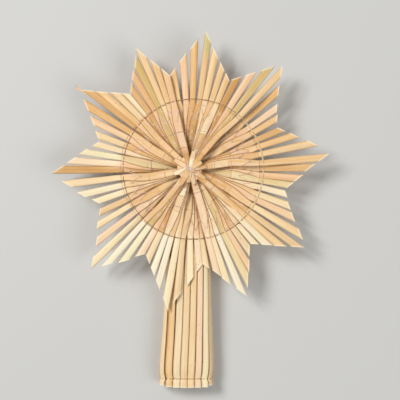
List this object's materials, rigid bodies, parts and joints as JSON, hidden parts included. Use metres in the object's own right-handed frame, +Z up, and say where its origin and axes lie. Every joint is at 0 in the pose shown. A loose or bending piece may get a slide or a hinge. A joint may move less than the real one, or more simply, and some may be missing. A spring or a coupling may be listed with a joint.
{
  "type": "straw star tree topper",
  "caption": "Many-rayed star of flat pressed straws tied with thread rings, on a flattened tube of straws that slips over a tree tip.",
  "frame": {"origin": "under the middle of the whole object, on the surface that it lies on", "axes": "+X towards the right-hand points of the star, +Y along the object from the sleeve rim to the top point, +Z up, out of the front of the star"},
  "size_m": [0.2094, 0.2696, 0.0291],
  "materials": {
    "straw_cream": "satin, pale cream, fine lengthwise grain",
    "straw_gold": "satin, golden, fine lengthwise grain",
    "straw_tan": "satin, toasted tan, fine lengthwise grain",
    "straw_pink": "satin, pinkish straw, fine lengthwise grain",
    "straw_green": "satin, yellow-green straw, fine lengthwise grain",
    "thread": "matt twisted sewing thread, light brown"
  },
  "bodies": {
    "root": {"inner_tie_thread": "thread", "middle_tie_thread": "thread", "ring_thread_back": "thread", "ring_thread_front": "thread", "sleeve_inner_thread": "thread", "sleeve_rim_thread": "thread", "sleeve_straw_01": "straw_gold", "sleeve_straw_02": "straw_pink", "sleeve_straw_03": "straw_gold", "sleeve_straw_04": "straw_tan", "sleeve_straw_05": "straw_gold", "sleeve_straw_06": "straw_cream", "sleeve_straw_07": "straw_cream", "sleeve_straw_08": "straw_tan", "sleeve_straw_09": "straw_pink", "sleeve_straw_10": "straw_green", "sleeve_straw_11": "straw_cream", "sleeve_straw_12": "straw_gold", "sleeve_straw_13": "straw_pink", "sleeve_straw_14": "straw_gold", "sleeve_straw_15": "straw_tan", "sleeve_straw_16": "straw_gold", "sleeve_straw_17": "straw_cream", "sleeve_straw_18": "straw_cream", "star_straw_01": "straw_gold", "star_straw_02": "straw_pink", "star_straw_03": "straw_gold", "star_straw_04": "straw_tan", "star_straw_05": "straw_gold", "star_straw_06": "straw_cream", "star_straw_07": "straw_cream", "star_straw_08": "straw_tan", "star_straw_09": "straw_pink", "star_straw_10": "straw_green", "star_straw_11": "straw_cream", "star_straw_12": "straw_gold", "star_straw_13": "straw_pink", "star_straw_14": "straw_gold", "star_straw_15": "straw_tan", "star_straw_16": "straw_gold", "star_straw_17": "straw_cream", "star_straw_18": "straw_cream", "star_straw_19": "straw_tan", "star_straw_20": "straw_pink", "star_straw_21": "straw_green", "star_straw_22": "straw_cream", "star_straw_23": "straw_gold", "star_straw_24": "straw_pink", "star_straw_25": "straw_gold", "star_straw_26": "straw_tan", "star_straw_27": "straw_gold", "star_straw_28": "straw_cream", "star_straw_29": "straw_cream", "star_straw_30": "straw_tan", "star_straw_31": "straw_pink", "star_straw_32": "straw_green", "star_straw_33": "straw_cream", "star_straw_34": "straw_gold", "star_straw_35": "straw_pink"}
  },
  "joints": []
}
